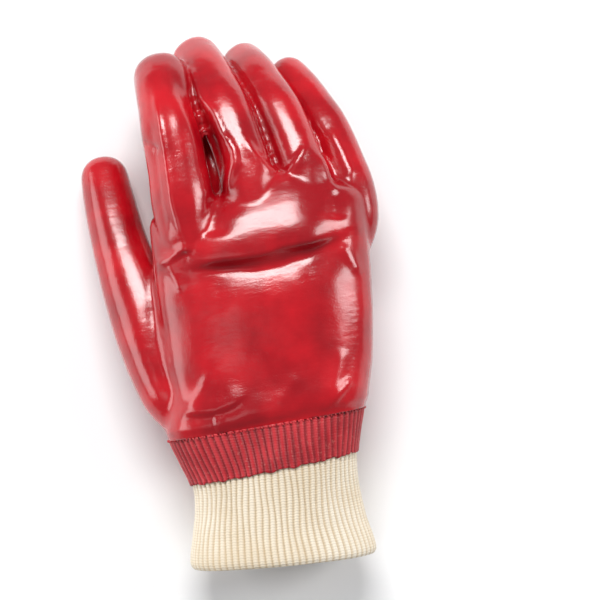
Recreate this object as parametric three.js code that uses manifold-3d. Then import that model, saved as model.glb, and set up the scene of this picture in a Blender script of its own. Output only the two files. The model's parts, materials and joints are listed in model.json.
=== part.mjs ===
// A PVC coated work glove for the right hand, with a knitted wrist, lying palm down on a flat surface.
// The hand is one dipped shell: a jersey glove soaked and coated in red PVC, closed round four curled fingers
// and a thumb. A rib knit tube is sewn to its wrist, and the dip reaches part of the way down that tube.
// Millimetres and degrees. While it is shaped, x runs from the thumb side to the little finger side, y from the
// hem to the fingertips, and z from the palm to the back of the hand.
import * as THREE from "three";
import Module from "manifold-3d";

// Driving dimensions of the hand.
const palmLength = 109; // wrist seam to the crotch between the middle and ring fingers
const palmWidth = 100; // across the knuckles
const palmDepth = 44; // palm to back, as the glove keeps its shape
const fingerLength = 92; // middle finger, crotch to tip
const fingerWidth = 25; // middle finger, across its first joint
const thumbLength = 122; // from inside the palm to the tip
const thumbWidth = 28;
const shellWall = 1.8; // coated jersey

// Driving dimensions of the knitted wrist, and of the seam that joins it to the hand.
const cuffLength = 64; // hem to wrist seam
const cuffWidth = 77; // at its narrowest
const cuffDepth = 47;
const seamWidth = 89;
const seamDepth = 48;
const seamSlope = 0.05; // rise of the seam towards the little finger side
const knitWall = 2.2; // rib knit, doubled at the hem
const dipLength = 21; // how far the coating reaches down the rib
const filmWall = 0.9; // PVC over the rib
const ribCount = 72;
const ribHeight = 0.9;
const pieceGap = 0.3; // between pieces that touch on the real glove

// Depth and half width of the deepest fold, which the table of folds shares out.
const foldDepth = 3.4;
const foldSpread = 6;

// How finely the outside and the inside of the hand are faceted.
const outerFacets = { palmSides: 40, digitSides: 16, digitRings: 12 };
const innerFacets = { palmSides: 32, digitSides: 12, digitRings: 10 };

// Sections of the palm. along is a share of palmLength from the wrist seam. seam is how far a section follows
// the size of the seam instead of the palm's. left and right are shares of that width, and back and under of
// that depth. slope tips the section towards the thumb side, and bow, a share of palmLength, carries its middle
// forward.
const palmSections = [
  { along: 0.0, seam: 1, left: -0.512, right: 0.519, back: 0.5, under: -0.513, slope: seamSlope, bow: 0 },
  { along: 0.03, seam: 0.7, left: -0.5, right: 0.52, back: 0.55, under: -0.56, slope: seamSlope, bow: 0 },
  { along: 0.07, seam: 0.4, left: -0.471, right: 0.513, back: 0.58, under: -0.59, slope: seamSlope, bow: 0 },
  { along: 0.14, seam: 0, left: -0.435, right: 0.508, back: 0.57, under: -0.6, slope: 0.04, bow: 0 },
  { along: 0.22, seam: 0, left: -0.428, right: 0.526, back: 0.54, under: -0.59, slope: 0.03, bow: 0 },
  { along: 0.32, seam: 0, left: -0.424, right: 0.541, back: 0.525, under: -0.57, slope: 0.03, bow: 0 },
  { along: 0.42, seam: 0, left: -0.422, right: 0.553, back: 0.51, under: -0.54, slope: 0.03, bow: 0 },
  { along: 0.52, seam: 0, left: -0.424, right: 0.562, back: 0.49, under: -0.51, slope: 0.05, bow: 0 },
  { along: 0.6, seam: 0, left: -0.426, right: 0.568, back: 0.475, under: -0.49, slope: 0.07, bow: 0 },
  { along: 0.64, seam: 0, left: -0.428, right: 0.571, back: 0.462, under: -0.48, slope: 0.08, bow: 0 },
  { along: 0.67, seam: 0, left: -0.428, right: 0.572, back: 0.452, under: -0.475, slope: 0.09, bow: 0 },
  { along: 0.692, seam: 0, left: -0.428, right: 0.573, back: 0.45, under: -0.47, slope: 0.095, bow: 0 },
  { along: 0.714, seam: 0, left: -0.428, right: 0.574, back: 0.51, under: -0.465, slope: 0.095, bow: 0 },
  { along: 0.745, seam: 0, left: -0.428, right: 0.575, back: 0.52, under: -0.46, slope: 0.085, bow: 0.005 },
  { along: 0.79, seam: 0, left: -0.426, right: 0.576, back: 0.495, under: -0.455, slope: 0.06, bow: 0.015 },
  { along: 0.845, seam: 0, left: -0.424, right: 0.578, back: 0.44, under: -0.445, slope: 0.03, bow: 0.04 },
  { along: 0.885, seam: 0, left: -0.42, right: 0.576, back: 0.37, under: -0.43, slope: 0.01, bow: 0.065 },
  { along: 0.915, seam: 0, left: -0.4, right: 0.555, back: 0.29, under: -0.39, slope: 0, bow: 0.085 },
  { along: 0.935, seam: 0, left: -0.36, right: 0.51, back: 0.18, under: -0.3, slope: 0, bow: 0.09 },
];
const palmSquareness = 2.5;
const knuckleArch = 0.1; // drop of the little finger side, as a share of palmDepth
const archRun = [0.2, 0.9]; // where along the palm that drop begins and is full
const webCentre = 0.22 * palmWidth; // where the front edge between the fingers reaches furthest
const webSpread = 0.26 * palmWidth;

// Digits. across is a share of palmWidth, along of palmLength from the wrist seam and raise of palmDepth, all
// at the crotch. length and girth are shares of the finger's or the thumb's own size, and root is how far it
// reaches back inside the palm. lean turns a digit towards the little finger side at its root, crotch and tip,
// pitch dips it towards the palm at its root and crotch, and curl adds the bend at each of its three joints.
const digits = [
  {
    name: "index", across: -0.26, along: 0.96, raise: 0.16, length: 0.84, girth: 1.06, root: 0.42,
    lean: [1, -3, -2], pitch: [3, 4], curl: [6, 20, 15], joints: [0.1, 0.46, 0.74],
  },
  {
    name: "middle", across: 0.11, along: 0.98, raise: 0.12, length: 1.0, girth: 0.86, root: 0.38,
    lean: [-4, -12, -23], pitch: [3, 8], curl: [8, 22, 16], joints: [0.1, 0.46, 0.74],
  },
  {
    name: "ring", across: 0.38, along: 0.97, raise: 0.04, length: 1.0, girth: 0.85, root: 0.38,
    lean: [0, -14, -28], pitch: [3, 10], curl: [8, 22, 18], joints: [0.1, 0.46, 0.74],
  },
  {
    name: "little", across: 0.575, along: 0.93, raise: -0.2, length: 0.87, girth: 0.82, root: 0.36,
    lean: [16, -8, -31], pitch: [4, 15], curl: [5, 10, 10], joints: [0.1, 0.46, 0.74],
  },
];
const thumb = {
  name: "thumb", across: -0.39, along: 0.17, raise: -0.1, length: 1.0, girth: 1.0, root: 0.12,
  lean: [-26, -21, -4], pitch: [9, 10.2], curl: [4, 5, 5], joints: [0.25, 0.5, 0.75],
};

// Girth along a digit: at is a share of its length from the crotch, wide and deep are shares of its width.
const fingerProfile = [
  { at: -0.4, wide: 0.6, deep: 0.5 },
  { at: -0.2, wide: 0.96, deep: 0.88 },
  { at: 0, wide: 1.04, deep: 1.0 },
  { at: 0.2, wide: 0.98, deep: 0.98 },
  { at: 0.44, wide: 0.98, deep: 0.96 },
  { at: 0.6, wide: 0.93, deep: 0.9 },
  { at: 0.76, wide: 0.92, deep: 0.88 },
  { at: 0.88, wide: 0.9, deep: 0.84 },
  { at: 1, wide: 0.86, deep: 0.8 },
];
const thumbProfile = [
  { at: -0.12, wide: 1.0, deep: 0.9 },
  { at: 0, wide: 1.25, deep: 1.15 },
  { at: 0.2, wide: 1.22, deep: 1.2 },
  { at: 0.42, wide: 1.08, deep: 1.04 },
  { at: 0.63, wide: 0.94, deep: 0.92 },
  { at: 0.8, wide: 0.87, deep: 0.84 },
  { at: 1, wide: 0.76, deep: 0.74 },
];
const digitSquareness = 2.15;
const tipBluntness = 2.3;
const jointSpread = 0.13; // how far along a digit each joint's bend reaches, to either side

// Folds and ridges. across is a share of palmWidth and along of palmLength, at each end of the fold. rise is a
// share of foldDepth, below 0 for a groove, and spread a share of foldSpread. back folds lie on the back of the
// hand, the others on the palm.
const folds = [
  { back: true, across: [-0.27, 0.5], along: [0.678, 0.75], rise: -1, spread: 0.5 },
  { back: true, across: [-0.24, 0.46], along: [0.735, 0.8], rise: 0.3, spread: 1.1 },
  { back: true, across: [-0.42, -0.27], along: [0.68, 0.71], rise: 0.45, spread: 0.6 },
  { back: true, across: [-0.31, -0.25], along: [1.2, 0.73], rise: 0.4, spread: 0.6 },
  { back: true, across: [-0.1, -0.12], along: [0.95, 0.8], rise: -0.6, spread: 0.9 },
  { back: true, across: [0.47, 0.47], along: [0.95, 0.8], rise: -0.5, spread: 0.8 },
  { back: true, across: [-0.36, -0.3], along: [0.16, 0.06], rise: 0.4, spread: 0.6 },
  { back: true, across: [-0.3, -0.22], along: [0.08, 0.2], rise: -0.5, spread: 0.7 },
  { back: true, across: [0.38, 0.28], along: [0.06, 0.24], rise: 0.4, spread: 0.8 },
  { back: false, across: [-0.34, 0.42], along: [0.8, 0.86], rise: -0.8, spread: 1.1 },
  { back: false, across: [-0.3, 0.5], along: [0.7, 0.62], rise: -0.7, spread: 1 },
  { back: false, across: [-0.3, -0.02], along: [0.64, 0.2], rise: -0.8, spread: 1.2 },
  { back: false, across: [0.2, 0.34], along: [0.5, 0.14], rise: 0.5, spread: 2 },
];

// The knitted wrist. along is a share of cuffLength from the hem, and seam is how far a section follows the
// size of the seam instead of the cuff's. wide and deep are shares of that size, centre is a share of that
// width, and slope tips the section, as on the palm.
const cuffSections = [
  { along: 0.0, seam: 0, wide: 1.1, deep: 1.12, centre: 0.005, slope: -0.03 },
  { along: 0.06, seam: 0, wide: 1.11, deep: 1.13, centre: 0.005, slope: -0.03 },
  { along: 0.24, seam: 0, wide: 1.05, deep: 1.05, centre: 0.0, slope: 0.01 },
  { along: 0.45, seam: 0, wide: 1.0, deep: 1.0, centre: 0.01, slope: 0.04 },
  { along: 0.66, seam: 0, wide: 1.0, deep: 1.0, centre: 0.02, slope: 0.08 },
  { along: 0.82, seam: 0.5, wide: 0.993, deep: 0.999, centre: 0.01, slope: 0.07 },
  { along: 1.0, seam: 1, wide: 1.0, deep: 1.0, centre: 0.0, slope: seamSlope },
];
const cuffSquareness = 2.2;

const wasm = await Module();
wasm.setup();

const { clamp, degToRad, lerp, smoothstep } = THREE.MathUtils;

// A named column of a table at any place between its rows, along a smooth curve through them.
function column(rows, place, at, name) {
  const last = rows.length - 1;
  const next = rows.findIndex((row) => row[place] >= at);
  if (next <= 0) return rows[next < 0 ? last : 0][name];
  const share = (at - rows[next - 1][place]) / (rows[next][place] - rows[next - 1][place]);
  const [a, b, c, d] = [-2, -1, 0, 1].map((step) => rows[clamp(next + step, 0, last)][name]);
  const linear = c - a;
  const square = 2 * a - 5 * b + 4 * c - d;
  const cube = 3 * (b - c) + d - a;
  return b + 0.5 * share * (linear + share * (square + share * cube));
}

// A point of a flattened circle: squareness 2 is an ellipse, and more fills its corners.
function rounded(angle, squareness) {
  const [c, s] = [Math.cos(angle), Math.sin(angle)];
  const power = 2 / squareness;
  return [Math.sign(c) * Math.abs(c) ** power, Math.sign(s) * Math.abs(s) ** power];
}

// The surface through rings of equally many points, capped at both ends, or joined end to end as a hollow tube.
function loft(rings, hollow = false) {
  const count = rings[0].length;
  const points = rings.flat();
  const faces = [];
  const bands = hollow ? rings.length : rings.length - 1;
  for (let band = 0; band < bands; band++) {
    const [low, high] = [band * count, ((band + 1) % rings.length) * count];
    for (let i = 0; i < count; i++) {
      const j = (i + 1) % count;
      faces.push(low + i, high + i, low + j, low + j, high + i, high + j);
    }
  }
  if (!hollow) {
    for (const [ring, start, turn] of [[rings[0], 0, 0], [rings.at(-1), points.length - count, 1]]) {
      const centre = ring.reduce((sum, point) => sum.add(point), new THREE.Vector3()).divideScalar(count);
      const middle = points.push(centre) - 1;
      for (let i = 0; i < count; i++) {
        const pair = [start + i, start + ((i + 1) % count)];
        faces.push(middle, pair[turn], pair[1 - turn]);
      }
    }
  }
  const geometry = new THREE.BufferGeometry().setFromPoints(points);
  geometry.setIndex(faces);
  return geometry;
}

function solidOf(geometry) {
  const vertProperties = new Float32Array(geometry.getAttribute("position").array);
  const triVerts = new Uint32Array(geometry.index.array);
  return new wasm.Manifold(new wasm.Mesh({ numProp: 3, vertProperties, triVerts }));
}

function geometryOf(solid) {
  const { vertProperties, triVerts } = solid.getMesh();
  const geometry = new THREE.BufferGeometry();
  geometry.setAttribute("position", new THREE.BufferAttribute(vertProperties, 3));
  geometry.setIndex(new THREE.BufferAttribute(triVerts, 1));
  return geometry;
}

// A fold is this shallow at its very ends, deepens over this share of its run, and fades out round the side of
// the hand between these two facings.
const endFade = 0.25;
const endRun = 0.25;
const foldedSide = [0.1, 0.6];

// Presses the folds into a point. facing is 1 on the back of the hand, -1 on the palm, and between them on the
// sides.
function fold(point, facing) {
  let rise = 0;
  for (const f of folds) {
    const toward = f.back ? facing : -facing;
    if (toward <= 0) continue;
    const start = new THREE.Vector2(f.across[0] * palmWidth, cuffLength + f.along[0] * palmLength);
    const run = new THREE.Vector2(f.across[1] * palmWidth, cuffLength + f.along[1] * palmLength).sub(start);
    const from = new THREE.Vector2(point.x, point.y).sub(start);
    const share = clamp(from.dot(run) / run.lengthSq(), 0, 1);
    const away = from.distanceTo(run.clone().multiplyScalar(share)) / (f.spread * foldSpread);
    const fade = lerp(endFade, 1, smoothstep(Math.min(share, 1 - share), 0, endRun));
    rise += f.rise * foldDepth * fade * Math.exp(-away * away) * smoothstep(toward, ...foldedSide);
  }
  return new THREE.Vector3(point.x, point.y, point.z + Math.sign(facing) * rise);
}

// The palm, from past the wrist to the front edge that the fingers grow from. inset is 0 for the outside.
function palm(inset, sides) {
  const mouth = inset > 0 ? [{ ...palmSections[0], along: -inset / palmLength }] : [];
  const rings = [...mouth, ...palmSections].map((row) => {
    const width = lerp(palmWidth, seamWidth, row.seam);
    const depth = lerp(palmDepth, seamDepth, row.seam);
    const [left, right] = [row.left * width + inset, row.right * width - inset];
    const [back, under] = [row.back * depth - inset, row.under * depth + inset];
    const front = row === palmSections.at(-1) ? inset : 0;
    const drop = knuckleArch * palmDepth * smoothstep(row.along, ...archRun);
    return Array.from({ length: sides }, (_, i) => {
      const [c, s] = rounded((2 * Math.PI * i) / sides, palmSquareness);
      const x = (left + right) / 2 + (c * (right - left)) / 2;
      const z = s * (s > 0 ? back : -under) - drop * Math.max(0, x / (palmWidth / 2)) ** 2;
      const bow = row.bow * palmLength * Math.exp(-(((x - webCentre) / webSpread) ** 2));
      const y = cuffLength + row.along * palmLength + row.slope * x + bow - front;
      return fold(new THREE.Vector3(x, y, z), s);
    });
  });
  return solidOf(loft(rings));
}

const lineSteps = 120; // along the centre line of a digit
const tipClosed = 0.02; // the last ring of a digit is this small before it is capped
const tipCrowding = 1.25; // more of it draws the rings towards the tip

// Where the rings of a digit stand, as shares from its root to its tip, closer together on the round tip.
function stationsOf(count) {
  const turns = Array.from({ length: count }, (_, i) => ((i / (count - 1)) * Math.PI) / 2);
  return turns.map((turn) => Math.sin(turn) ** tipCrowding);
}

// One digit: its centre line is followed in small steps, turning at each joint, with rings square to it.
function digit(row, size, width, profile, inset, sides, ringCount) {
  const length = row.length * size;
  const girth = row.girth * width;
  const inPalm = (s) => clamp(1 + s / row.root, 0, 1);
  const bendAt = (s, joint) => smoothstep(s, joint - jointSpread, joint + jointSpread);
  const curlAt = (s) => row.curl.reduce((sum, curl, i) => sum + curl * bendAt(s, row.joints[i]), 0);
  const pitchAt = (s) => lerp(row.pitch[0], row.pitch[1], inPalm(s)) + curlAt(s);
  const leanAt = (s) => lerp(lerp(row.lean[0], row.lean[1], inPalm(s)), row.lean[2], clamp(s, 0, 1));
  const headingAt = (s) => {
    const [lean, pitch] = [degToRad(leanAt(s)), degToRad(pitchAt(s))];
    const level = Math.cos(pitch);
    return new THREE.Vector3(Math.sin(lean) * level, Math.cos(lean) * level, -Math.sin(pitch));
  };
  const stretch = 1 + row.root;
  const base = new THREE.Vector3(
    row.across * palmWidth,
    cuffLength + row.along * palmLength,
    row.raise * palmDepth,
  );
  const line = [base.clone().addScaledVector(headingAt(-row.root), -row.root * length)];
  for (let i = 0; i < lineSteps; i++) {
    const s = -row.root + (stretch * (i + 0.5)) / lineSteps;
    line.push(line[i].clone().addScaledVector(headingAt(s), (stretch * length) / lineSteps));
  }
  const tipRadius = (0.5 * girth * profile.at(-1).wide) / length;
  const rings = stationsOf(ringCount).map((station) => {
    const s = lerp(-row.root, 1 - inset / length, station);
    const beyond = Math.max(0, s - (1 - inset / length - tipRadius)) / tipRadius;
    const closing = Math.max(tipClosed, 1 - beyond ** tipBluntness) ** (1 / tipBluntness);
    const step = ((s + row.root) / stretch) * lineSteps;
    const [before, after] = [line[Math.floor(step)], line[Math.min(lineSteps, Math.floor(step) + 1)]];
    const place = before.clone().lerp(after, step % 1);
    const heading = headingAt(s);
    const side = new THREE.Vector3(0, 0, 1).cross(heading).normalize().negate();
    const up = side.clone().cross(heading);
    const halfWide = (0.5 * girth * column(profile, "at", s, "wide") - inset) * closing;
    const halfDeep = (0.5 * girth * column(profile, "at", s, "deep") - inset) * closing;
    return Array.from({ length: sides }, (_, i) => {
      const [c, t] = rounded((2 * Math.PI * i) / sides, digitSquareness);
      const point = place.clone().addScaledVector(side, c * halfWide).addScaledVector(up, t * halfDeep);
      return fold(point, t);
    });
  });
  return solidOf(loft(rings));
}

// The whole hand as one solid, a wall smaller all over for its inside.
function hand(inset, { palmSides, digitSides, digitRings }) {
  let solid = palm(inset, palmSides);
  for (const row of digits) {
    solid = solid.add(digit(row, fingerLength, fingerWidth, fingerProfile, inset, digitSides, digitRings));
  }
  return solid.add(digit(thumb, thumbLength, thumbWidth, thumbProfile, inset, digitSides, digitRings));
}

function handShell() {
  return geometryOf(hand(0, outerFacets).subtract(hand(shellWall, innerFacets)));
}

// A length of the ribbed wrist through sections at some shares of cuffLength. out is how far its outer face
// stands off the knit, and wall its thickness.
function ribTube(shares, out, wall, ribbedInside) {
  const sides = 2 * ribCount;
  const ring = (share, inset, ribbed) => {
    const value = (name) => column(cuffSections, "along", share, name);
    const width = lerp(cuffWidth, seamWidth, value("seam"));
    const depth = lerp(cuffDepth, seamDepth, value("seam"));
    const [halfWide, halfDeep] = [(value("wide") * width) / 2, (value("deep") * depth) / 2];
    return Array.from({ length: sides }, (_, i) => {
      const [c, s] = rounded((2 * Math.PI * i) / sides, cuffSquareness);
      const rib = ribbed && i % 2 ? ribHeight : 0;
      const x = value("centre") * width + c * (halfWide + out - inset - rib);
      const y = share * cuffLength + value("slope") * x;
      return new THREE.Vector3(x, y, s * (halfDeep + out - inset - rib));
    });
  };
  const outer = shares.map((share) => ring(share, 0, true));
  const inner = shares.toReversed().map((share) => ring(share, wall, ribbedInside));
  return loft([...outer, ...inner], true);
}

const seamShare = 1 - pieceGap / cuffLength;
const dipShare = 1 - dipLength / cuffLength;
const bandShares = [dipShare, (dipShare + seamShare) / 2, seamShare];
const knitShares = [0, dipShare / 3, (dipShare * 2) / 3, ...bandShares];

const red = new THREE.MeshStandardMaterial({ color: 0xc4101c, roughness: 0.22, metalness: 0 });
const redRib = new THREE.MeshStandardMaterial({ color: 0xa81620, roughness: 0.4, metalness: 0 });
const cotton = new THREE.MeshStandardMaterial({ color: 0xe8d9bc, roughness: 0.95, metalness: 0 });

const glove = new THREE.Group();

function addPiece(name, geometry, material) {
  const mesh = new THREE.Mesh(geometry, material);
  mesh.name = name;
  glove.add(mesh);
}

addPiece("hand_shell", handShell(), red);
addPiece("dipped_rib_band", ribTube(bandShares, filmWall + pieceGap, filmWall, true), redRib);
addPiece("knit_wrist", ribTube(knitShares, 0, knitWall, false), cotton);

// Laid down: the glove tips forward until its hem and its fingertips both touch the surface.
const settlingPasses = 4;

function restingTilt() {
  const points = [];
  for (const mesh of glove.children) {
    const places = mesh.geometry.getAttribute("position");
    for (let i = 0; i < places.count; i++) points.push([places.getY(i), places.getZ(i)]);
  }
  const behind = points.filter(([y]) => y < cuffLength);
  const ahead = points.filter(([y]) => y > cuffLength + palmLength / 2);
  let slope = 0;
  for (let pass = 0; pass < settlingPasses; pass++) {
    const heel = behind.reduce((low, p) => (p[1] - slope * p[0] < low[1] - slope * low[0] ? p : low));
    slope = Math.min(...ahead.map(([y, z]) => (z - heel[1]) / (y - heel[0])));
  }
  return -Math.atan(slope);
}

glove.rotation.x = restingTilt();
glove.updateMatrixWorld(true);
const bounds = new THREE.Box3().setFromObject(glove, true);
const footprint = bounds.getCenter(new THREE.Vector3());
glove.position.set(-footprint.x, -footprint.y, -bounds.min.z);

export default glove;
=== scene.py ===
# A PVC coated work glove for the right hand, lying palm down on a pale floor and seen from above its back.
import json
import math

import bmesh
import bpy
import numpy as np
from mathutils import Matrix, Vector, noise
from mathutils.bvhtree import BVHTree


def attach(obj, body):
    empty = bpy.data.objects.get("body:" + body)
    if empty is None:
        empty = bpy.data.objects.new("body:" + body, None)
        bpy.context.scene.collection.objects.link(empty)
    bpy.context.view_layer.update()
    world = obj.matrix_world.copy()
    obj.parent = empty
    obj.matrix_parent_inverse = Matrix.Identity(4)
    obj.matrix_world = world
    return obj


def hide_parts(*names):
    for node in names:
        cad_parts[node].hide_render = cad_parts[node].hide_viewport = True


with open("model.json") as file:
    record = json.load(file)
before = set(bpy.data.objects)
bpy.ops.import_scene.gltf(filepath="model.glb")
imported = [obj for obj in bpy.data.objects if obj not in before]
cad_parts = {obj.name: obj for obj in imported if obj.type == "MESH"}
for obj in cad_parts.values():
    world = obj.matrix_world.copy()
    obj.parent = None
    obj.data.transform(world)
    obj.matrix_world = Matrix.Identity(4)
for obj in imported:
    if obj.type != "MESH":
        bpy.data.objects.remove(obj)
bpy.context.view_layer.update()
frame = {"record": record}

# The coated hand. A sewn cotton jersey glove is soaked and dipped in red PVC, so that cloth and coat are one
# wall with no seam to be seen. Palm and digits are tubes rolled from short tables of sections, fused into one
# skin, rounded where they meet, and pressed into the folds that the stiff coat keeps. Lengths are in millimetres
# in the hand's own frame: x to the little finger, y from the hem to the tips, z out of the back of the hand.
palm_length = 109.0
palm_width = 100.0
palm_depth = 44.0
finger_length = 92.0
finger_width = 25.0
thumb_length = 122.0
thumb_width = 28.0
shell_wall = 1.8
cuff_length = 64.0
seam_width = 89.0
seam_depth = 48.0
seam_slope = 0.05

palm_rows = [
    dict(along=0.00, seam=1.0, left=-0.512, right=0.519, back=0.500, under=-0.513, slope=seam_slope, bow=0),
    dict(along=0.03, seam=0.7, left=-0.500, right=0.520, back=0.550, under=-0.560, slope=seam_slope, bow=0),
    dict(along=0.07, seam=0.4, left=-0.471, right=0.513, back=0.580, under=-0.590, slope=seam_slope, bow=0),
    dict(along=0.14, seam=0.0, left=-0.435, right=0.508, back=0.570, under=-0.600, slope=0.04, bow=0),
    dict(along=0.22, seam=0.0, left=-0.428, right=0.526, back=0.540, under=-0.590, slope=0.03, bow=0),
    dict(along=0.32, seam=0.0, left=-0.424, right=0.541, back=0.525, under=-0.570, slope=0.03, bow=0),
    dict(along=0.42, seam=0.0, left=-0.422, right=0.553, back=0.510, under=-0.540, slope=0.03, bow=0),
    dict(along=0.52, seam=0.0, left=-0.424, right=0.562, back=0.495, under=-0.510, slope=0.05, bow=0),
    dict(along=0.60, seam=0.0, left=-0.426, right=0.568, back=0.485, under=-0.490, slope=0.07, bow=0),
    dict(along=0.67, seam=0.0, left=-0.428, right=0.572, back=0.480, under=-0.475, slope=0.09, bow=0),
    dict(along=0.745, seam=0.0, left=-0.428, right=0.575, back=0.480, under=-0.460, slope=0.085, bow=0.005),
    dict(along=0.79, seam=0.0, left=-0.426, right=0.576, back=0.470, under=-0.455, slope=0.06, bow=0.015),
    dict(along=0.845, seam=0.0, left=-0.424, right=0.578, back=0.430, under=-0.445, slope=0.03, bow=0.04),
    dict(along=0.885, seam=0.0, left=-0.420, right=0.576, back=0.370, under=-0.430, slope=0.01, bow=0.065),
    dict(along=0.915, seam=0.0, left=-0.400, right=0.555, back=0.290, under=-0.390, slope=0, bow=0.085),
    dict(along=0.935, seam=0.0, left=-0.360, right=0.510, back=0.180, under=-0.300, slope=0, bow=0.09),
]
palm_squareness = 2.5
knuckle_arch = 0.1
web_centre = 0.22 * palm_width
web_spread = 0.26 * palm_width

# middle_flank is no sixth digit: it is the low, hidden side of the middle finger that closes the gap to the index.
digit_rows = [
    dict(name="index", across=-0.24, along=0.96, raised=0.16, length=0.84, girth=1.12, root=0.42,
         lean=(1, -3, -6), pitch=(3, 4), curl=(6, 20, 15), joints=(0.1, 0.46, 0.74)),
    dict(name="middle", across=0.072, along=0.98, raised=0.12, length=1.0, girth=1.02, root=0.38,
         lean=(-4, -7, -29), pitch=(3, 8), curl=(8, 22, 16), joints=(0.1, 0.46, 0.74)),
    dict(name="middle_flank", across=-0.05, along=0.93, raised=-0.24, length=0.72, girth=0.66, root=0.3,
         lean=(-3, -5, -18), pitch=(3, 8), curl=(8, 22, 16), joints=(0.2, 0.7, 0.95)),
    dict(name="ring", across=0.335, along=0.97, raised=0.04, length=1.0, girth=0.92, root=0.38,
         lean=(0, -7, -37), pitch=(3, 10), curl=(8, 22, 18), joints=(0.1, 0.46, 0.74)),
    dict(name="little", across=0.58, along=0.93, raised=-0.2, length=0.87, girth=0.86, root=0.36,
         lean=(16, -8, -38), pitch=(4, 15), curl=(5, 10, 10), joints=(0.1, 0.46, 0.74)),
    dict(name="thumb", across=-0.39, along=0.17, raised=-0.1, length=1.0, girth=1.0, root=0.12,
         lean=(-26, -21, -4), pitch=(9, 10.2), curl=(4, 5, 5), joints=(0.25, 0.5, 0.75)),
]
finger_profile = [
    dict(at=-0.4, wide=0.6, deep=0.5),
    dict(at=-0.2, wide=0.96, deep=0.88),
    dict(at=0, wide=1.04, deep=1.0),
    dict(at=0.2, wide=0.98, deep=0.98),
    dict(at=0.44, wide=0.98, deep=0.96),
    dict(at=0.6, wide=0.93, deep=0.9),
    dict(at=0.76, wide=0.92, deep=0.88),
    dict(at=0.88, wide=0.9, deep=0.84),
    dict(at=1, wide=0.86, deep=0.8),
]
thumb_profile = [
    dict(at=-0.12, wide=1.0, deep=0.9),
    dict(at=0, wide=1.25, deep=1.15),
    dict(at=0.2, wide=1.22, deep=1.2),
    dict(at=0.42, wide=1.08, deep=1.04),
    dict(at=0.63, wide=0.94, deep=0.92),
    dict(at=0.8, wide=0.87, deep=0.84),
    dict(at=1, wide=0.76, deep=0.74),
]
digit_squareness = 2.15
tip_bluntness = 2.3
joint_spread = 0.13  # how far along a digit each joint's bend reaches, to either side
joint_crease = 0.16
crease_width = 0.022
line_steps = 240  # along the centre line of a digit
merge_within = 1e-5
hand_voxel = 1.05
lining_voxel = 2.2
relax_in = 0.5
relax_out = 0.53
ripple_height = 0.09
ripple_scale = 0.09
lining_inset = 1.25 * shell_wall
thinnest_wall = 0.6 * shell_wall
mouth_back = 0.6  # how far the cut mouth lies below the wrist seam
speck_size = 200  # a loose island with fewer points is a speck

# Folds that the stiff coat keeps. line runs through points in millimetres, across from the thumb side and along
# from the hem. rise is its height, below 0 for a groove, and left and right are its widths to either side of the
# line as it runs.
back_folds = [
    dict(line=((-27, 139), (-13, 140), (7, 141), (18, 143.5), (30, 143.5), (45, 146)), rise=2.6, left=14, right=2.4),
    dict(line=((-26, 137), (-10, 135.5), (3, 134), (13, 134.5), (23, 137), (37, 140), (48, 143.5)),
         rise=-2.9, left=3.4, right=10),
    dict(line=((-24, 133.5), (-10, 132.3), (4, 130.5), (16, 131), (28, 134), (40, 138)), rise=0.4, left=1.5, right=5),
    dict(line=((-14, 127), (10, 125), (28, 127)), rise=0.9, left=8, right=12),
    dict(line=((-32, 224), (-31, 208), (-30, 192), (-29.5, 168), (-27, 153), (-23.5, 143)),
         rise=1.4, left=3.2, right=1.8),
    dict(line=((-37, 212), (-36, 190), (-36, 168), (-34, 152)), rise=-1.4, left=2.5, right=4),
    dict(line=((-42, 141), (-34, 143), (-27, 147.5), (-22, 146)), rise=1.6, left=2, right=2.2),
    dict(line=((-36, 141), (-33, 136), (-30, 128)), rise=0.8, left=2.5, right=1.8),
    dict(line=((-39, 137), (-40, 120), (-40, 109), (-39, 96), (-36, 84), (-36, 72)), rise=0.8, left=5, right=3),
    dict(line=((-45, 128), (-46, 108), (-44, 94), (-41, 82)), rise=-1.2, left=2.5, right=4),
    dict(line=((-21, 235), (-14, 228), (-11, 215), (-6, 208), (-3, 198), (1, 189), (1, 183), (-3, 175), (-7, 166)),
         rise=1.5, left=1.8, right=3),
    dict(line=((-24, 230), (-18, 218), (-13, 205), (-9, 194), (-7, 184), (-9, 174)), rise=-1.6, left=3, right=4),
    dict(line=((-3, 196), (-1, 194)), rise=0.7, left=0.8, right=0.8),
    dict(line=((5, 198), (9, 188), (15, 179), (23, 175), (29, 181), (33, 187), (34, 194)), rise=1.1, left=1.6, right=3),
    dict(line=((39, 184), (41, 175), (43, 168), (46, 164)), rise=0.9, left=2.5, right=1.4),
    dict(line=((46, 196), (50, 184), (53, 174), (51, 167)), rise=1.0, left=1.8, right=3),
    dict(line=((-8, 168), (-12, 159), (-13, 150)), rise=-1.5, left=6, right=5),
    dict(line=((45, 166), (44, 158), (43, 152)), rise=-1.0, left=4, right=4),
    dict(line=((-38, 74), (-29, 73), (-22, 73), (-14, 75), (-6, 80)), rise=1.1, left=9, right=1.8),
    dict(line=((-37, 70.5), (-26, 70.5), (-18, 71.5), (-9, 75)), rise=-0.9, left=2, right=4),
    dict(line=((-34, 74), (-30, 78), (-26, 83), (-21, 92)), rise=0.7, left=2.5, right=4.5),
    dict(line=((-22, 71), (-21.5, 67), (-21, 62)), rise=0.9, left=3.5, right=0.9),
    dict(line=((39, 94), (36, 84), (31, 72)), rise=0.8, left=3, right=4),
    dict(line=((30, 70), (36, 75), (41, 80)), rise=0.9, left=2.2, right=2.2),
    dict(line=((6, 73), (12, 78), (18, 84)), rise=0.4, left=4, right=3),
    dict(line=((44, 141), (47, 135), (51, 126)), rise=0.9, left=3, right=2.4),
    dict(line=((-42, 198), (-38, 196), (-33, 193)), rise=-0.9, left=1.6, right=1.6),
]
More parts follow.
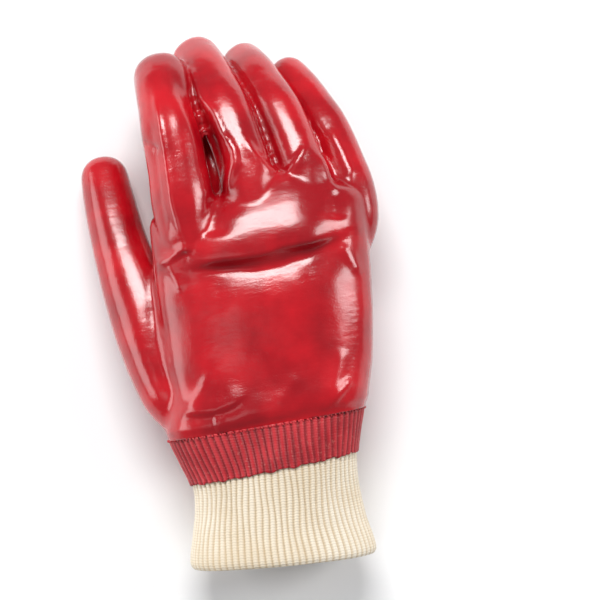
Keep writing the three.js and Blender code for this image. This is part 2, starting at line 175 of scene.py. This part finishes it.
palm_folds = [
    dict(line=((-34, 151), (0, 156), (42, 158)), rise=-2.2, left=5, right=3),
    dict(line=((-30, 140), (10, 137), (50, 131)), rise=-2.0, left=3, right=5),
    dict(line=((-30, 134), (-12, 118), (-4, 86)), rise=-2.2, left=3, right=6),
    dict(line=((20, 118), (28, 98), (34, 79)), rise=1.4, left=11, right=11),
    dict(line=((-44, 150), (-30, 138), (-26, 128)), rise=-1.2, left=3, right=3),
    dict(line=((-20, 74), (0, 77), (24, 74)), rise=-1.2, left=5, right=2),
]


def smooth(value, low, high):
    share = np.clip((value - low) / (high - low), 0, 1)
    return share * share * (3 - 2 * share)


def blend(low, high, share):
    return low + (high - low) * share


def column(rows, place, at, name):
    """A named column of a table at any place between its rows, along a smooth curve through them."""
    last = len(rows) - 1
    after = next((i for i, row in enumerate(rows) if row[place] >= at), last + 1)
    if after == 0 or after > last:
        return rows[min(after, last)][name]
    share = (at - rows[after - 1][place]) / (rows[after][place] - rows[after - 1][place])
    a, b, c, d = (rows[min(max(after + step, 0), last)][name] for step in (-2, -1, 0, 1))
    square = 2 * a - 5 * b + 4 * c - d
    cube = 3 * (b - c) + d - a
    return b + 0.5 * share * (c - a + share * (square + share * cube))


def flattened(turns, squareness):
    """Points at these turns of a flattened circle: 2 is an ellipse, and more fills its corners."""
    c, s = np.cos(turns), np.sin(turns)
    power = 2 / squareness
    return np.sign(c) * np.abs(c) ** power, np.sign(s) * np.abs(s) ** power


def round_ring(count, squareness):
    return flattened(np.arange(count) * 2 * math.pi / count, squareness)


def roll_tube(bm, rings):
    """A grid rolled up through rings of points, merged along its edge and capped at both ends."""
    around = len(rings[0])
    verts = bmesh.ops.create_grid(bm, x_segments=around, y_segments=len(rings) - 1, size=1)["verts"]
    for number, vert in enumerate(verts):
        row, place = divmod(number, around + 1)
        vert.co = rings[row][place % around]
    bmesh.ops.remove_doubles(bm, verts=verts, dist=merge_within)
    bmesh.ops.holes_fill(bm, edges=[edge for edge in bm.edges if edge.is_boundary], sides=0)


def palm_rings(stations, around, inset=0.0):
    c, s = round_ring(around, palm_squareness)
    rings = []
    for along in stations:
        value = {name: column(palm_rows, "along", along, name) for name in palm_rows[0]}
        width = blend(palm_width, seam_width, value["seam"])
        depth = blend(palm_depth, seam_depth, value["seam"])
        left, right = value["left"] * width, value["right"] * width
        x = (left + right) / 2 + c * ((right - left) / 2 - inset)
        drop = knuckle_arch * palm_depth * smooth(along, 0.2, 0.9)
        z = s * (np.where(s > 0, value["back"] * depth, -value["under"] * depth) - inset)
        z = z - drop * np.maximum(0, x / (palm_width / 2)) ** 2
        bow = value["bow"] * palm_length * np.exp(-((x - web_centre) / web_spread) ** 2)
        y = cuff_length + along * palm_length + value["slope"] * x + bow
        rings.append(np.stack([x, y, z], axis=1))
    return rings


def digit_rings(row, size, width, profile, stations, around, inset=0.0):
    """Rings square to the digit's centre line, which turns at each joint. inset makes them that much smaller."""
    length, girth = row["length"] * size, row["girth"] * width

    def heading(s):
        in_palm = np.clip(1 + s / row["root"], 0, 1)
        curl = sum(bend * smooth(s, joint - joint_spread, joint + joint_spread)
                   for bend, joint in zip(row["curl"], row["joints"]))
        pitch = math.radians(blend(*row["pitch"], in_palm) + curl)
        lean = math.radians(blend(blend(row["lean"][0], row["lean"][1], in_palm), row["lean"][2], np.clip(s, 0, 1)))
        level = math.cos(pitch)
        return Vector((math.sin(lean) * level, math.cos(lean) * level, -math.sin(pitch)))

    reach = 1 + row["root"]
    base = Vector((row["across"] * palm_width, cuff_length + row["along"] * palm_length, row["raised"] * palm_depth))
    line = [base - heading(-row["root"]) * (row["root"] * length)]
    for i in range(line_steps):
        line.append(line[-1] + heading(-row["root"] + reach * (i + 0.5) / line_steps) * (reach * length / line_steps))
    tip_radius = 0.5 * girth * profile[-1]["wide"] / length
    c, t = round_ring(around, digit_squareness)
    rings = []
    for station in stations:
        s = blend(-row["root"], 1, station)
        beyond = max(0, s - (1 - tip_radius)) / tip_radius
        closing = max(0.002, 1 - beyond ** tip_bluntness) ** (1 / tip_bluntness)
        step = min(line_steps - 1e-6, station * line_steps * (1 - inset / (reach * length)))
        place = line[int(step)].lerp(line[int(step) + 1], step % 1)
        ahead = heading(s)
        side = -Vector((0, 0, 1)).cross(ahead).normalized()
        up = side.cross(ahead)
        wide = (0.5 * girth * column(profile, "at", s, "wide") - inset) * closing
        deep = (0.5 * girth * column(profile, "at", s, "deep") - inset) * closing
        crease = sum(math.exp(-((s - joint) / crease_width) ** 2) for joint in row["joints"][1:])
        under = np.where(t < 0, 1 - joint_crease * crease * smooth(-t, 0.2, 0.8), 1)
        rings.append(np.array(place) + np.outer(c * wide, side) + np.outer(t * deep * under, up))
    return rings


def object_from(name, bm):
    mesh = bpy.data.meshes.new(name)
    bm.to_mesh(mesh)
    bm.free()
    thing = bpy.data.objects.new(name, mesh)
    bpy.context.scene.collection.objects.link(thing)
    return thing


def remeshed(thing, voxel):
    """The object's closed tubes fused into one skin of even quads."""
    fuse = thing.modifiers.new("fuse", "REMESH")
    fuse.mode = "VOXEL"
    fuse.voxel_size = voxel
    graph = bpy.context.evaluated_depsgraph_get()
    fused = bpy.data.meshes.new_from_object(thing.evaluated_get(graph))
    thing.modifiers.clear()
    thing.data = fused
    return thing


class Skin:
    """The points of a closed skin, with the neighbours that smoothing needs."""

    def __init__(self, mesh):
        self.mesh = mesh
        self.points = np.empty((len(mesh.vertices), 3))
        mesh.vertices.foreach_get("co", self.points.ravel())
        self.edges = np.empty((len(mesh.edges), 2), np.int64)
        mesh.edges.foreach_get("vertices", self.edges.ravel())
        self.degree = np.bincount(self.edges.ravel(), minlength=len(self.points))[:, None]

    def pull(self):
        """From each point to the middle of its neighbours."""
        total = np.zeros_like(self.points)
        for axis in range(3):
            for near, far in ((0, 1), (1, 0)):
                total[:, axis] += np.bincount(
                    self.edges[:, near], self.points[self.edges[:, far], axis], len(self.points))
        return total / self.degree - self.points

    def write(self):
        self.mesh.vertices.foreach_set("co", self.points.ravel())
        self.mesh.update()

    def normals(self):
        self.write()
        normals = np.empty((len(self.mesh.vertices), 3))
        self.mesh.vertex_normals.foreach_get("vector", normals.ravel())
        return normals

    def relax(self, rounds):
        """Evens the skin, and swells it back by a little more each time, so that it doesn't shrink."""
        for _ in range(rounds):
            self.points += relax_in * self.pull()
            self.points -= relax_out * self.pull()

    def fill_hollows(self, rounds, where):
        """Rounds the creases where two forms meet, and leaves what bulges."""
        normals = self.normals()
        for number in range(rounds):
            if number % 8 == 0:
                normals = self.normals()
            pull = self.pull()
            rise = np.einsum("ij,ij->i", pull, normals)
            self.points += pull * (0.5 * where * smooth(rise, 0.0, 0.05))[:, None]


def press_folds(points, facing, folds):
    """How far each point of the skin is pressed or raised by a table of folds."""
    rise = np.zeros(len(points))
    for fold in folds:
        line = np.array(fold["line"], float)
        spans = np.linalg.norm(np.diff(line, axis=0), axis=1)
        nearest = np.full(len(points), np.inf)
        side = np.zeros(len(points))
        passed = np.zeros(len(points))
        for number, span in enumerate(spans):
            start, run = line[number], (line[number + 1] - line[number]) / span
            offset = points[:, :2] - start
            along = np.clip(offset @ run, 0, span)
            apart = offset - along[:, None] * run
            distance = np.hypot(apart[:, 0], apart[:, 1])
            closer = distance < nearest
            nearest = np.where(closer, distance, nearest)
            side = np.where(closer, run[0] * offset[:, 1] - run[1] * offset[:, 0], side)
            passed = np.where(closer, spans[:number].sum() + along, passed)
        share = passed / spans.sum()
        ends = smooth(np.minimum(share, 1 - share), -0.06, 0.22)
        width = np.where(side > 0, fold["left"], fold["right"])
        rise += fold["rise"] * ends * np.exp(-(nearest / width) ** 2)
    return rise * smooth(facing, -0.05, 0.4)


def drop_specks(bm, least):
    """Deletes the loose specks that a remesh can leave inside a wall."""
    seen, specks = set(), []
    for start in bm.verts:
        if start in seen:
            continue
        seen.add(start)
        island = [start]
        for vert in island:
            for edge in vert.link_edges:
                other = edge.other_vert(vert)
                if other not in seen:
                    seen.add(other)
                    island.append(other)
        if len(island) < least:
            specks += island
    bmesh.ops.delete(bm, geom=specks, context="VERTS")


def hand_tubes(name, inset, voxel):
    """The palm's and the digits' tubes, fused into one closed skin."""
    bm = bmesh.new()
    roll_tube(bm, palm_rings(np.linspace(-0.06, 0.935 - inset / palm_length, 80), 140, inset))
    crowded = np.sin(np.linspace(0, math.pi / 2, 90)) ** 1.25
    for row in digit_rows:
        of_thumb = row["name"] == "thumb"
        size, width = (thumb_length, thumb_width) if of_thumb else (finger_length, finger_width)
        profile = thumb_profile if of_thumb else finger_profile
        roll_tube(bm, digit_rings(row, size, width, profile, crowded, 64, inset))
    bmesh.ops.recalc_face_normals(bm, faces=bm.faces)
    return remeshed(object_from(name, bm), voxel)


hand = hand_tubes("coated_hand", 0.0, hand_voxel)
skin = Skin(hand.data)
skin.relax(3)
skin.fill_hollows(40, 1 - 0.85 * smooth(skin.points[:, 1], 172, 184))
skin.relax(5)
for folds, way in ((back_folds, 1), (palm_folds, -1)):
    normals = skin.normals()
    rise = press_folds(skin.points, way * normals[:, 2], folds)
    skin.points += normals * rise[:, None]
skin.relax(2)
normals = skin.normals()
ripple = np.array([noise.fractal(Vector(point) * ripple_scale, 1, 2, 3) for point in skin.points])
skin.points += normals * (ripple_height * ripple)[:, None]
skin.write()

# Its wrist is cut open along the seam, and an inner face of bare jersey is laid a wall's thickness inside.
coat = BVHTree.FromPolygons(
    [vert.co for vert in hand.data.vertices], [polygon.vertices[:] for polygon in hand.data.polygons])
lining = hand_tubes("lining", lining_inset, lining_voxel)
for vert in lining.data.vertices:
    place, outward, _, _ = coat.find_nearest(vert.co)
    if (vert.co - place).dot(outward) > -thinnest_wall:
        vert.co = place - outward * thinnest_wall
bm = bmesh.new()
bm.from_mesh(hand.data)
inside = bm.verts.layers.float.new("inside")
outer_count = len(bm.verts)
bm.from_mesh(lining.data)
bpy.data.objects.remove(lining)
bm.verts.ensure_lookup_table()
for vert in bm.verts[outer_count:]:
    vert[inside] = 1
bmesh.ops.reverse_faces(bm, faces=[face for face in bm.faces if face.verts[0][inside] == 1])
bmesh.ops.bisect_plane(
    bm, geom=bm.verts[:] + bm.edges[:] + bm.faces[:], plane_co=(0, cuff_length - mouth_back, 0),
    plane_no=(-seam_slope, 1, 0), clear_inner=True)
bmesh.ops.bridge_loops(bm, edges=[edge for edge in bm.edges if edge.is_boundary])
drop_specks(bm, speck_size)
bm.to_mesh(hand.data)
bm.free()

# How the glove lies: it tips forward about X until hem and fingertips touch the floor, as its hem mount says.
hem_axis = frame["record"]["mounts"][0]["axis"]
lying_tilt = math.atan2(-hem_axis[2], -hem_axis[1])
glove_place = Vector((5.6574, -122.9897, 26.1663))
floor_clearance = 0.0002
lying = Matrix.Scale(0.001, 4) @ Matrix.Translation(glove_place) @ Matrix.Rotation(lying_tilt, 4, "X")


def lay_down(thing, node):
    """Turned into the row frame, pressed flat where it would sink into the floor, hung under the root, and the part it
    replaces hidden.
    """
    thing.data.transform(lying)
    for vert in thing.data.vertices:
        vert.co.z = max(vert.co.z, floor_clearance)
    for polygon in thing.data.polygons:
        polygon.use_smooth = True
    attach(thing, "root")
    if node:
        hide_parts(node)


lay_down(hand, "hand_shell")


class Nodes:
    """Shorthand for a material's nodes. A number goes onto the socket, and a socket is linked to it."""

    def __init__(self, name):
        self.material = bpy.data.materials.new(name)
        self.material.use_nodes = True
        self.tree = self.material.node_tree
        self.shader = self.tree.nodes["Principled BSDF"]

    def put(self, socket, value):
        if isinstance(value, bpy.types.NodeSocket):
            self.tree.links.new(value, socket)
        else:
            socket.default_value = value

    def add(self, kind, **inputs):
        node = self.tree.nodes.new(kind)
        for name, value in inputs.items():
            if name.startswith("in_"):
                self.put(node.inputs[int(name[3:])], value)
            elif name in node.inputs:
                self.put(node.inputs[name], value)
            else:
                setattr(node, name, value)
        return node

    def math(self, operation, a, b=0.0):
        return self.add("ShaderNodeMath", operation=operation, in_0=a, in_1=b).outputs[0]

    def clouds(self, scale, detail=3.0, stretch=(1, 1, 1)):
        place = self.add("ShaderNodeTexCoord").outputs["Object"]
        mapped = self.add("ShaderNodeMapping", Vector=place, Scale=stretch).outputs["Vector"]
        return self.add("ShaderNodeTexNoise", Vector=mapped, Scale=scale, Detail=detail).outputs["Fac"]

    def between(self, value, low, high, low_to=0.0, high_to=1.0):
        node = self.add("ShaderNodeMapRange", Value=value)
        for name, number in (("From Min", low), ("From Max", high), ("To Min", low_to), ("To Max", high_to)):
            self.put(node.inputs[name], number)
        return node.outputs["Result"]

    def mix(self, share, low, high):
        node = self.add("ShaderNodeMix", data_type="RGBA")
        self.put(node.inputs[0], share)
        self.put(node.inputs[6], low)
        self.put(node.inputs[7], high)
        return node.outputs[2]

    def bump(self, height, strength, distance, under=None):
        node = self.add("ShaderNodeBump", Height=height, Strength=strength, Distance=distance)
        if under:
            self.put(node.inputs["Normal"], under)
        return node.outputs["Normal"]

    def finish(self, **inputs):
        for name, value in inputs.items():
            self.put(self.shader.inputs[name.replace("_", " ")], value)
        return self.material


pvc = Nodes("red_pvc")
worn = pvc.between(pvc.clouds(38, 4), 0.38, 0.66)
coat_colour = pvc.mix(worn, (0.31, 0.001, 0.006, 1), (0.52, 0.004, 0.011, 1))
bare_inside = pvc.add("ShaderNodeAttribute", attribute_name="inside").outputs["Fac"]
jersey_colour = pvc.mix(pvc.between(pvc.clouds(600), 0.3, 0.7), (0.50, 0.36, 0.26, 1), (0.68, 0.52, 0.40, 1))
weave = pvc.clouds(1500, 1)
streaks = pvc.clouds(150, 4, (1, 3.2, 1))
lumps = pvc.bump(pvc.clouds(85, 2), 0.3, 0.0006)
wrinkled = pvc.bump(streaks, 0.3, 0.0004, lumps)
grained = pvc.bump(weave, 0.22, 0.00022, wrinkled)
gloss = pvc.between(pvc.clouds(55, 4), 0.35, 0.68, 0.17, 0.27)
hand.data.materials.append(pvc.finish(
    Base_Color=pvc.mix(bare_inside, coat_colour, jersey_colour),
    Roughness=pvc.mix(bare_inside, gloss, (0.95, 0.95, 0.95, 1)),
    IOR=1.5,
    Coat_Weight=pvc.math("SUBTRACT", 0.4, pvc.math("MULTIPLY", bare_inside, 0.4)),
    Coat_Roughness=0.14,
    Normal=grained,
))

# The knitted wrist: a cream cotton tube in ribs, one layer folded double at the hem. Its ribs are round, wander a
# little, and are knitted in rows of small V stitches that the bump shows.
cuff_width = 77.0
cuff_depth = 47.0
knit_wall = 2.2
rib_count = 72
rib_height = 0.9
rib_points = 8
stitches_per_mm = 5.2  # as an angle, for the rows that the bump shows
chevron_slope = 5.0
cuff_rows = [
    dict(along=0.0, seam=0, wide=1.1, deep=1.12, centre=0.005, slope=-0.03),
    dict(along=0.06, seam=0, wide=1.11, deep=1.13, centre=0.005, slope=-0.03),
    dict(along=0.24, seam=0, wide=1.05, deep=1.05, centre=0.0, slope=0.01),
    dict(along=0.45, seam=0, wide=1.0, deep=1.0, centre=0.01, slope=0.04),
    dict(along=0.66, seam=0, wide=1.0, deep=1.0, centre=0.02, slope=0.08),
    dict(along=0.82, seam=0.5, wide=0.993, deep=0.999, centre=0.01, slope=0.07),
    dict(along=1.0, seam=1, wide=1.0, deep=1.0, centre=0.0, slope=seam_slope),
]
cuff_squareness = 2.2
rib_phase = np.arange(rib_count * rib_points) * 2 * math.pi / (rib_count * rib_points)
closed_turns = np.linspace(0, 2 * math.pi, 4001)
closed_c, closed_s = flattened(closed_turns, cuff_squareness)
closed_steps = np.hypot(np.diff(closed_c * cuff_width), np.diff(closed_s * cuff_depth))
closed_run = np.concatenate([[0], np.cumsum(closed_steps)])
rib_turns = np.interp(rib_phase / (2 * math.pi) * closed_run[-1], closed_run, closed_turns)


def rib_ring(along, out, ribs=1.0, shift=0.0):
    """One ring of the ribbed tube. out is its height off the knit, and shift moves each of its points along."""
    value = {name: column(cuff_rows, "along", along, name) for name in cuff_rows[0]}
    half_wide = blend(cuff_width, seam_width, value["seam"]) * value["wide"] / 2
    half_deep = blend(cuff_depth, seam_depth, value["seam"]) * value["deep"] / 2
    wander = 0.010 * np.sin(5 * rib_turns + along * 9) + 0.006 * np.sin(17 * rib_turns - along * 14)
    c, s = flattened(rib_turns + wander * math.sin(math.pi * along), cuff_squareness)
    lobe = np.abs(np.cos(rib_phase * rib_count / 2)) ** 0.7
    uneven = 0.22 * np.sin(3 * rib_turns + 7 * along) + 0.16 * np.sin(8 * rib_turns - 5 * along + 1)
    drop = rib_height * ribs * (1 - lobe) - uneven - out
    x = value["centre"] * blend(cuff_width, seam_width, value["seam"]) + c * (half_wide - drop)
    y = along * cuff_length + value["slope"] * x + shift
    return np.stack([x, y, s * (half_deep - drop)], axis=1)


def ribbed_tube(name, rings):
    """A closed tube through rings, with a UV map of ribs around and millimetres along."""
    bm = bmesh.new()
    around = len(rings[0])
    loop = rings + [rings[0]]
    verts = bmesh.ops.create_grid(bm, x_segments=around, y_segments=len(loop) - 1, size=1)["verts"]
    uv = bm.loops.layers.uv.new("ribs")
    places = {}
    for number, vert in enumerate(verts):
        row, place = divmod(number, around + 1)
        vert.co = loop[row][place % around]
        places[vert] = (place / rib_points, loop[row][place % around][1])
    for face in bm.faces:
        for corner in face.loops:
            corner[uv].uv = places[corner.vert]
    bmesh.ops.remove_doubles(bm, verts=verts, dist=merge_within)
    bmesh.ops.recalc_face_normals(bm, faces=bm.faces)
    return object_from(name, bm)


hem_share = 0.035  # the hem's fold takes this share of the cuff
hem_ribs = 0.75  # and its ribs are flatter
seam_share = 1 - 0.3 / cuff_length
outer_shares = np.linspace(hem_share, seam_share, 56)
hem_turn = np.linspace(0, math.pi, 9)[1:-1]
hem_rings = [
    rib_ring(hem_share * (1 - math.sin(turn)), -knit_wall / 2 * (1 - math.cos(turn)),
             ribs=hem_ribs * math.cos(turn / 2) ** 2)
    for turn in hem_turn
]
outer_rings = [rib_ring(share, 0, ribs=blend(hem_ribs, 1, min(1, share * 8))) for share in outer_shares]
inner_rings = [rib_ring(share, -knit_wall, ribs=-0.4) for share in np.linspace(hem_share, seam_share, 18)]
wrist = ribbed_tube("knit_wrist_ribs", outer_rings[::-1] + hem_rings + inner_rings)
lay_down(wrist, "knit_wrist")

cotton = Nodes("cream_rib_knit")
rib_place = cotton.add("ShaderNodeSeparateXYZ", in_0=cotton.add("ShaderNodeUVMap", uv_map="ribs").outputs["UV"])
across_rib = cotton.math("PINGPONG", rib_place.outputs["X"], 0.5)
# Painted shade: the grooves between the ribs are mixed toward a dark brown, standing in for the shade that falls into
# the hollows, on top of the cream's random tone.
groove_shade = cotton.between(across_rib, 0.2, 0.48)
chevron = cotton.math("MULTIPLY", across_rib, chevron_slope)
knit_rows = cotton.math("MULTIPLY", rib_place.outputs["Y"], stitches_per_mm)
stitch_wave = cotton.math("SINE", cotton.math("ADD", knit_rows, chevron))
fuzz = cotton.clouds(1400, 3)
knit_height = cotton.math("ADD", stitch_wave, cotton.math("MULTIPLY", fuzz, 1.6))
ridge_colour = cotton.mix(cotton.between(cotton.clouds(45), 0.35, 0.65), (0.75, 0.65, 0.50, 1), (0.83, 0.75, 0.62, 1))
cream = cotton.mix(cotton.math("MULTIPLY", groove_shade, 0.75), ridge_colour, (0.58, 0.43, 0.25, 1))
wrist.data.materials.append(cotton.finish(
    Base_Color=cream,
    Roughness=0.95,
    Specular_IOR_Level=0.15,
    Sheen_Weight=0.3,
    Sheen_Roughness=0.5,
    Normal=cotton.bump(knit_height, 0.4, 0.00022),
))

# The dipped rib: the red coat soaks the upper third of the ribs as a thin satin film. Its lower edge is the dip
# line, which bites unevenly into the ribs, with cream specks where the coat missed the cotton.
dip_length = 21.0
film_wall = 0.9
dip_share = 1 - dip_length / cuff_length
film_top = 1 - 0.2 / cuff_length
bite = (0.25 * np.sin(rib_phase * rib_count / 4 + 0.7)
        + 0.2 * np.sin(31 * rib_turns)
        + 0.2 * np.sin(53 * rib_turns + 2))
film_out = film_wall + 0.25
film_outer = [
    rib_ring(share, film_out, ribs=0.95, shift=bite * (1 - step / 6) if step < 6 else 0.0)
    for step, share in enumerate(np.linspace(dip_share, film_top, 34))
]
film_edge = [
    rib_ring(dip_share, film_out - 0.3, ribs=0.95, shift=bite - 0.25),
    rib_ring(dip_share, film_out - 0.75, ribs=0.97, shift=bite - 0.3),
]
film_inner = [
    rib_ring(share, 0.12, ribs=1.0, shift=bite * (1 - step / 2) if step < 2 else 0.0)
    for step, share in enumerate(np.linspace(dip_share, film_top, 6))
]
band = ribbed_tube("dipped_rib", film_outer[::-1] + film_edge + film_inner)
lay_down(band, "dipped_rib_band")

film = Nodes("red_pvc_on_rib")
film_place = film.add("ShaderNodeSeparateXYZ", in_0=film.add("ShaderNodeUVMap", uv_map="ribs").outputs["UV"])
film_across = film.math("PINGPONG", film_place.outputs["X"], 0.5)
# Painted shade: the grooves between the coated ribs are mixed toward a near-black red, standing in for the shade that
# falls into the hollows.
film_groove_shade = film.between(film_across, 0.12, 0.45)
soaked = film.mix(film.between(film.clouds(70, 4), 0.35, 0.65), (0.38, 0.007, 0.014, 1), (0.58, 0.028, 0.038, 1))
film_colour = film.mix(film.math("MULTIPLY", film_groove_shade, 0.7), soaked, (0.15, 0.002, 0.006, 1))
missed = film.between(film.clouds(900, 1), 0.66, 0.70)
film_rows = film.math("MULTIPLY", film_place.outputs["Y"], stitches_per_mm)
film_chevron = film.math("MULTIPLY", film_across, chevron_slope)
film_stitch = film.math("SINE", film.math("ADD", film_rows, film_chevron))
band.data.materials.append(film.finish(
    Base_Color=film.mix(film.math("MULTIPLY", missed, 0.35), film_colour, (0.55, 0.16, 0.13, 1)),
    Roughness=film.between(film.clouds(120), 0.35, 0.65, 0.34, 0.55),
    IOR=1.5,
    Normal=film.bump(film_stitch, 0.25, 0.00015),
))

# The seam: a row of small overlock stitches in coated thread, where the ribbed wrist is sewn to the hand.
stitch_pitch = 1.9
stitch_long = 1.25
stitch_thick = 0.42
stitch_below = 0.9  # how far below the top of the cuff they sit
stitch_slant = 0.45
bm = bmesh.new()
seam_ring = rib_ring(1.0, film_out + 0.15, ribs=0.0)
seam_runs = np.linalg.norm(np.roll(seam_ring, -1, axis=0) - seam_ring, axis=1)
seam_length = seam_runs.sum()
seam_places = np.concatenate([[0], np.cumsum(seam_runs)])
stitch_count = round(seam_length / stitch_pitch)
for number in range(stitch_count):
    at = (number + 0.5) * seam_length / stitch_count
    place = min(int(np.searchsorted(seam_places, at)) - 1, len(seam_ring) - 1)
    spot = Vector(seam_ring[place])
    along_seam = (Vector(seam_ring[(place + 1) % len(seam_ring)]) - spot).normalized()
    slant = (along_seam * stitch_slant + Vector((0, 1, 0))).normalized()
    outward = slant.cross(along_seam).normalized()
    if outward.dot(Vector((spot.x, 0, spot.z))) < 0:
        outward = -outward
    turned = Matrix((outward.cross(slant), slant, outward)).transposed().to_4x4()
    scaled = Matrix.Diagonal((stitch_thick, stitch_long / 2, stitch_thick, 1))
    bmesh.ops.create_icosphere(
        bm, subdivisions=2, radius=1, matrix=Matrix.Translation(spot - Vector((0, stitch_below, 0))) @ turned @ scaled)
stitches = object_from("seam_stitches", bm)
lay_down(stitches, None)
stitches.data.materials.append(band.data.materials[0])

# The pale floor that the glove lies on.
bm = bmesh.new()
bmesh.ops.create_grid(bm, x_segments=1, y_segments=1, size=3)
floor = object_from("floor", bm)
pale = Nodes("pale_floor")
floor.data.materials.append(pale.finish(Base_Color=(0.93, 0.93, 0.93, 1), Roughness=0.9, Specular_IOR_Level=0.2))

# The camera of the photo: a metre above the back of the hand, square to it and turned by the photo's 7 degrees.
photo_turn = math.radians(7)
photo_width = 276.0
photo_centre = Vector((22.3, 117.8, 0))
photo_distance = 1000.0
sensor_width = 36
facing = Matrix.Rotation(-photo_turn, 4, "Z")
camera_data = bpy.data.cameras.new("photo_camera")
camera_data.sensor_width = sensor_width
camera_data.lens = sensor_width * photo_distance / photo_width
camera = bpy.data.objects.new("photo_camera", camera_data)
bpy.context.scene.collection.objects.link(camera)
eye = Matrix.Translation(photo_centre) @ facing @ Matrix.Translation((0, 0, photo_distance))
camera.matrix_world = (
    Matrix.Translation(lying @ eye.translation)
    @ (lying.to_3x3().normalized() @ eye.to_3x3().normalized()).to_4x4()
)
bpy.context.scene.camera = camera


def studio_light(name, right, up, near, size, glow):
    """A softbox placed in millimetres right, up and near as the camera sees them, turned to the glove."""
    lamp = bpy.data.lights.new(name, "AREA")
    lamp.shape = "RECTANGLE"
    lamp.size, lamp.size_y = size
    lamp.energy = glow * math.pi * size[0] * size[1]
    light = bpy.data.objects.new(name, lamp)
    bpy.context.scene.collection.objects.link(light)
    target = lying @ photo_centre
    place = lying @ (Matrix.Translation(photo_centre) @ facing @ Vector((right, up, near)))
    light.location = place
    light.rotation_euler = (place - target).to_track_quat("Z", "Y").to_euler()


# A low, wide reflector and a faint haze at the left, a tall box at the right and one beyond the fingertips.
studio_light("left_reflector", -2400, 300, 850, (2.8, 1.3), 3.6)
studio_light("left_haze", -900, -400, 2300, (1.0, 1.4), 0.9)
studio_light("right_softbox", 2250, 900, 1500, (0.8, 1.5), 9)
studio_light("top_softbox", -200, 2000, 2200, (1.7, 0.8), 17)
world = bpy.data.worlds.new("studio")
world.use_nodes = True
world.node_tree.nodes["Background"].inputs["Color"].default_value = (0.92, 0.94, 1.0, 1)
world.node_tree.nodes["Background"].inputs["Strength"].default_value = 0.24
bpy.context.scene.world = world
bpy.context.scene.view_settings.view_transform = "Standard"

bpy.context.view_layer.update()
